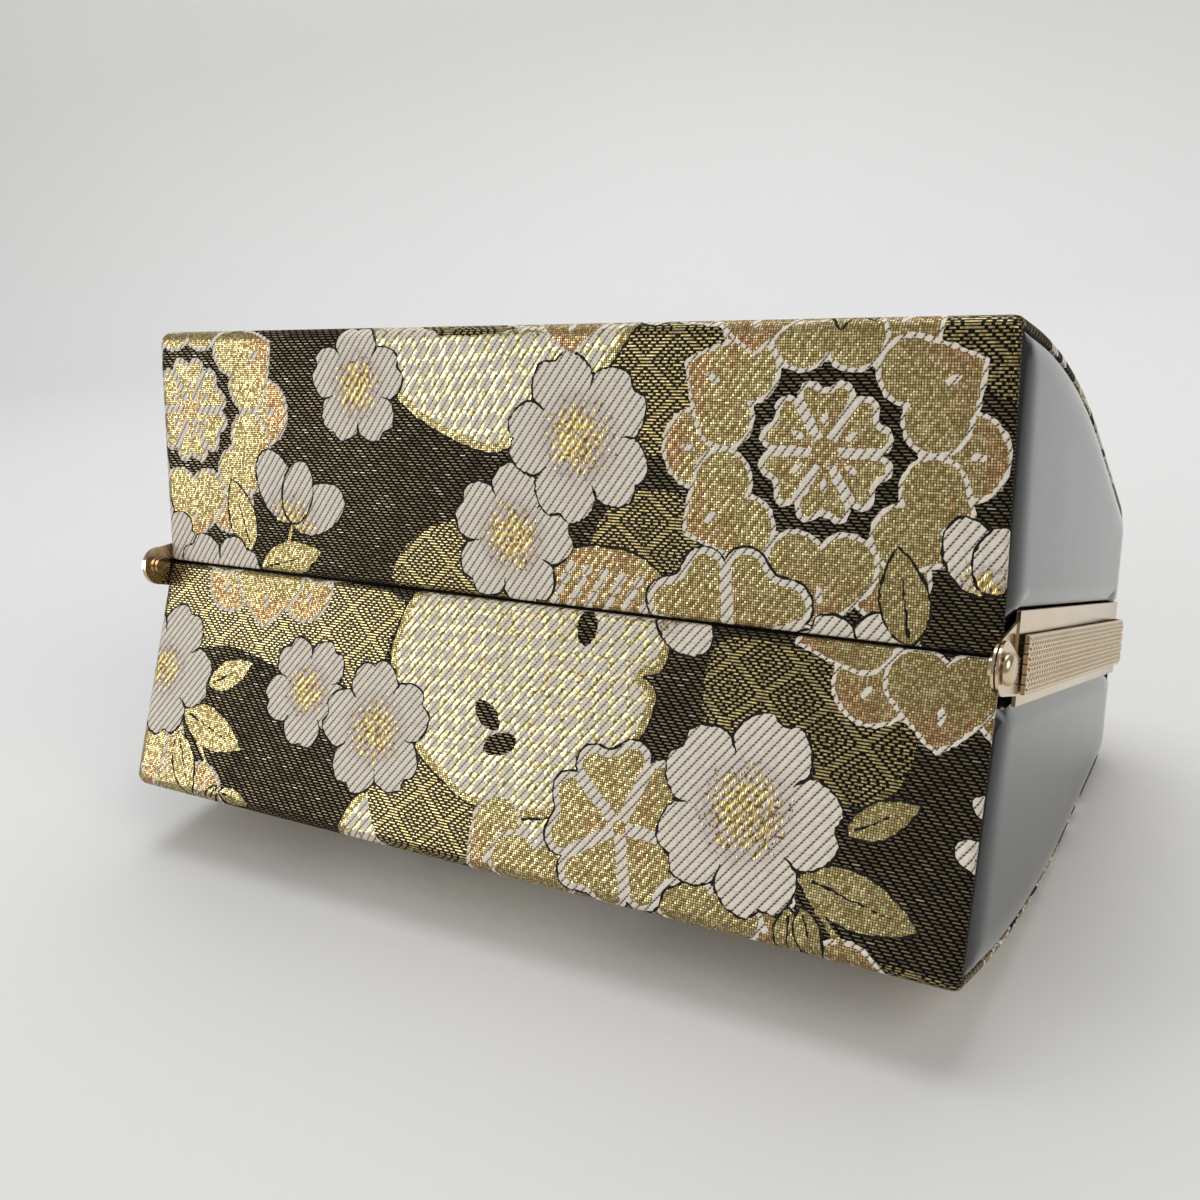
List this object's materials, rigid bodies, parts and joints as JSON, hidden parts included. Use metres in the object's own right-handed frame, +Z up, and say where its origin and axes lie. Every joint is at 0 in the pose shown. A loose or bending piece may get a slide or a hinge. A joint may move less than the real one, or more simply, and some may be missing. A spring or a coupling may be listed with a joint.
{
  "type": "kimono handbag",
  "caption": "Formal clamshell handbag lying on its back: brocade halves with black enamel sides in a riveted gold frame with a ball clasp and a swinging handle.",
  "frame": {"origin": "on the floor, under the middle of the bag's bounding box", "axes": "+X along the bag's width, to the right as seen facing its underside; +Y from the underside towards the top of the bag; +Z up from the floor"},
  "size_m": [0.2264, 0.2302, 0.1279],
  "materials": {
    "brocade": "woven brocade with metallic thread on a black ground",
    "board": "pressed fibre board",
    "lining": "fine black lining cloth",
    "enamel": "high-gloss black enamel",
    "gold_metal": "polished champagne gold plate"
  },
  "bodies": {
    "back_half": {"back_brocade": "brocade", "back_board": "board", "back_lining": "lining", "back_side_panel_left": "enamel", "back_side_panel_right": "enamel", "crease_lining": "lining", "back_frame": "gold_metal", "frame_band": "gold_metal", "hinge_rivet_left": "gold_metal", "hinge_rivet_right": "gold_metal", "back_clasp_knob": "gold_metal", "handle_lug_left": "gold_metal", "handle_lug_right": "gold_metal"},
    "front_half": {"front_brocade": "brocade", "front_board": "board", "front_lining": "lining", "front_side_panel_left": "enamel", "front_side_panel_right": "enamel", "front_frame": "gold_metal", "front_clasp_knob": "gold_metal"},
    "handle": {"handle_grip": "enamel", "handle_end_left": "gold_metal", "handle_end_right": "gold_metal", "handle_pin_left": "gold_metal", "handle_pin_right": "gold_metal"}
  },
  "joints": [
    {"name": "frame_hinge", "type": "hinge", "parent": "back_half", "child": "front_half", "pos_m": [0, -0.0909, 0.06981], "axis": [1, 0, 0], "range_deg": [0, 90]},
    {"name": "handle_swing", "type": "hinge", "parent": "back_half", "child": "handle", "pos_m": [0, 0.01885, 0.01194], "axis": [1, 0, 0], "range_deg": [-100, 55]}
  ]
}
